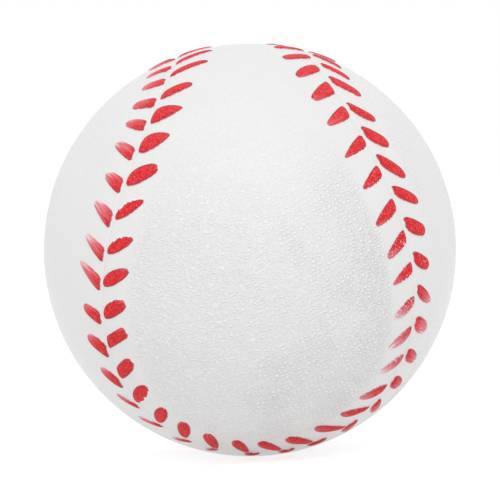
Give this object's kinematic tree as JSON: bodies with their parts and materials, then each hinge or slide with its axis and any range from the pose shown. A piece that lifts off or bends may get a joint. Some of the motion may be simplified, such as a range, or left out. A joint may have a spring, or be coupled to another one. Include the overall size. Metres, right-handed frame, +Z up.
{
  "type": "foam baseball",
  "caption": "Round white play ball shaped like a baseball, with raised red chevron stitch marks along its curved seam groove and a small flat where it rests.",
  "frame": {"origin": "centre of the ball", "axes": "+Z up, away from the small flat on which the ball rests; -Y to the front, through a lobe of skin field a; +X to the right seen from the front"},
  "size_m": [0.063, 0.063, 0.0628],
  "materials": {
    "white_skin": "smooth white integral skin of soft polyurethane foam, finely pebbled away from the seam, satin",
    "core_foam": "open-cell polyurethane foam, off-white, matt",
    "red_paint": "red flexible paint brushed over raised marks, uneven, satin"
  },
  "bodies": {
    "root": {"foam_core": "core_foam", "skin_panel_a": "white_skin", "skin_panel_b": "white_skin", "red_stitches_a_01": "red_paint", "red_stitches_a_02": "red_paint", "red_stitches_a_03": "red_paint", "red_stitches_a_04": "red_paint", "red_stitches_a_05": "red_paint", "red_stitches_a_06": "red_paint", "red_stitches_a_07": "red_paint", "red_stitches_a_08": "red_paint", "red_stitches_a_09": "red_paint", "red_stitches_a_10": "red_paint", "red_stitches_a_11": "red_paint", "red_stitches_a_12": "red_paint", "red_stitches_a_13": "red_paint", "red_stitches_a_14": "red_paint", "red_stitches_a_15": "red_paint", "red_stitches_a_16": "red_paint", "red_stitches_a_17": "red_paint", "red_stitches_a_18": "red_paint", "red_stitches_a_19": "red_paint", "red_stitches_a_20": "red_paint", "red_stitches_a_21": "red_paint", "red_stitches_a_22": "red_paint", "red_stitches_a_23": "red_paint", "red_stitches_a_24": "red_paint", "red_stitches_b_01": "red_paint", "red_stitches_b_02": "red_paint", "red_stitches_b_03": "red_paint", "red_stitches_b_04": "red_paint", "red_stitches_b_05": "red_paint", "red_stitches_b_06": "red_paint", "red_stitches_b_07": "red_paint", "red_stitches_b_08": "red_paint", "red_stitches_b_09": "red_paint", "red_stitches_b_10": "red_paint", "red_stitches_b_11": "red_paint", "red_stitches_b_12": "red_paint", "red_stitches_b_13": "red_paint", "red_stitches_b_14": "red_paint", "red_stitches_b_15": "red_paint", "red_stitches_b_16": "red_paint", "red_stitches_b_17": "red_paint", "red_stitches_b_18": "red_paint", "red_stitches_b_19": "red_paint", "red_stitches_b_20": "red_paint", "red_stitches_b_21": "red_paint", "red_stitches_b_22": "red_paint", "red_stitches_b_23": "red_paint", "red_stitches_b_24": "red_paint"}
  },
  "joints": []
}
